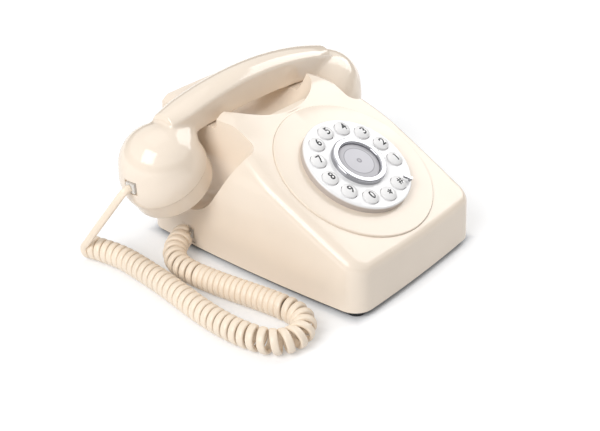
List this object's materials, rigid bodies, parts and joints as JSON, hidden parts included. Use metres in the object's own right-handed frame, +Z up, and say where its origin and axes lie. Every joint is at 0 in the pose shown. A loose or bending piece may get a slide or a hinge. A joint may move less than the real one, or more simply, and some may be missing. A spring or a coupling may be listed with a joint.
{
  "type": "desk telephone",
  "caption": "Desk telephone with a sloping cream case, push buttons set out like a dial, a handset on a horned cradle and a curly cord.",
  "frame": {"origin": "on the table under the middle of the case and handset, at the bottom of the feet", "axes": "+X to the telephone's right along the handset, -Y towards the person who dials, +Z up"},
  "size_m": [0.2495, 0.1916, 0.1176],
  "materials": {
    "case_cream": "glossy moulded plastic",
    "handset_cream": "glossy moulded plastic",
    "cord_cream": "satin extruded plastic",
    "dial_white": "glossy moulded plastic",
    "button_white": "glossy, clear domed top",
    "bright_chrome": "polished plating",
    "card_silver": "satin",
    "foot_rubber": "matt",
    "plate_black": "satin black paint",
    "zinc_steel": "zinc plated",
    "gong_brass": "polished",
    "coil_copper": "enamelled wire",
    "board_green": "solder mask",
    "component_black": "moulded",
    "membrane_rubber": "matt",
    "clear_plastic": "clear",
    "yoke_plastic": "moulded"
  },
  "bodies": {
    "base": {"housing": "case_cream", "dial_bezel": "case_cream", "handset_cord": "cord_cream", "dial_plate": "dial_white", "centre_ring": "bright_chrome", "finger_stop": "bright_chrome", "centre_card": "card_silver", "rubber_feet": "foot_rubber", "base_plate": "plate_black", "base_screws": "zinc_steel", "gong_screws": "zinc_steel", "hook_bracket": "zinc_steel", "ringer_frame": "zinc_steel", "bell_gong_left": "gong_brass", "bell_gong_right": "gong_brass", "ringer_coil": "coil_copper", "main_board": "board_green", "keypad_board": "board_green", "board_components": "component_black", "hook_switch": "component_black", "line_jack": "component_black", "handset_jack": "component_black", "keypad_membrane": "membrane_rubber", "cord_plug_base": "clear_plastic"},
    "handset": {"handset_body": "handset_cream", "mouthpiece_cap": "handset_cream", "earpiece_cap": "handset_cream", "microphone_capsule": "component_black", "receiver_capsule": "component_black", "handset_socket": "component_black", "cord_plug_handset": "clear_plastic"},
    "hook": {"hook_plunger_left": "clear_plastic", "hook_plunger_right": "clear_plastic", "plunger_yoke": "yoke_plastic"},
    "clapper": {"clapper": "zinc_steel"},
    "button_1": {"button_1": "button_white"},
    "button_2": {"button_2": "button_white"},
    "button_3": {"button_3": "button_white"},
    "button_4": {"button_4": "button_white"},
    "button_5": {"button_5": "button_white"},
    "button_6": {"button_6": "button_white"},
    "button_7": {"button_7": "button_white"},
    "button_8": {"button_8": "button_white"},
    "button_9": {"button_9": "button_white"},
    "button_0": {"button_0": "button_white"},
    "button_star": {"button_star": "button_white"},
    "button_hash": {"button_hash": "button_white"}
  },
  "joints": [
    {"name": "handset_lift", "type": "slide", "parent": "base", "child": "handset", "axis": [0, 0, 1], "range_m": [0, 0.09]},
    {"name": "hook_rise", "type": "slide", "parent": "base", "child": "hook", "axis": [0, 0, 1], "range_m": [0, 0.004]},
    {"name": "clapper_swing", "type": "hinge", "parent": "base", "child": "clapper", "pos_m": [0, -0.012, 0.0325], "axis": [0, 0, 1], "range_deg": [-4, 4]},
    {"name": "press_1", "type": "slide", "parent": "base", "child": "button_1", "axis": [0, 0.4648, -0.8854], "range_m": [0, 0.0015], "stiffness_N_per_m": 200},
    {"name": "press_2", "type": "slide", "parent": "base", "child": "button_2", "axis": [0, 0.4648, -0.8854], "range_m": [0, 0.0015], "stiffness_N_per_m": 200},
    {"name": "press_3", "type": "slide", "parent": "base", "child": "button_3", "axis": [0, 0.4648, -0.8854], "range_m": [0, 0.0015], "stiffness_N_per_m": 200},
    {"name": "press_4", "type": "slide", "parent": "base", "child": "button_4", "axis": [0, 0.4648, -0.8854], "range_m": [0, 0.0015], "stiffness_N_per_m": 200},
    {"name": "press_5", "type": "slide", "parent": "base", "child": "button_5", "axis": [0, 0.4648, -0.8854], "range_m": [0, 0.0015], "stiffness_N_per_m": 200},
    {"name": "press_6", "type": "slide", "parent": "base", "child": "button_6", "axis": [0, 0.4648, -0.8854], "range_m": [0, 0.0015], "stiffness_N_per_m": 200},
    {"name": "press_7", "type": "slide", "parent": "base", "child": "button_7", "axis": [0, 0.4648, -0.8854], "range_m": [0, 0.0015], "stiffness_N_per_m": 200},
    {"name": "press_8", "type": "slide", "parent": "base", "child": "button_8", "axis": [0, 0.4648, -0.8854], "range_m": [0, 0.0015], "stiffness_N_per_m": 200},
    {"name": "press_9", "type": "slide", "parent": "base", "child": "button_9", "axis": [0, 0.4648, -0.8854], "range_m": [0, 0.0015], "stiffness_N_per_m": 200},
    {"name": "press_0", "type": "slide", "parent": "base", "child": "button_0", "axis": [0, 0.4648, -0.8854], "range_m": [0, 0.0015], "stiffness_N_per_m": 200},
    {"name": "press_star", "type": "slide", "parent": "base", "child": "button_star", "axis": [0, 0.4648, -0.8854], "range_m": [0, 0.0015], "stiffness_N_per_m": 200},
    {"name": "press_hash", "type": "slide", "parent": "base", "child": "button_hash", "axis": [0, 0.4648, -0.8854], "range_m": [0, 0.0015], "stiffness_N_per_m": 200}
  ],
  "couplings": [
    {"joint": "hook_rise", "follows": "handset_lift", "ratio": 0.04444}
  ]
}
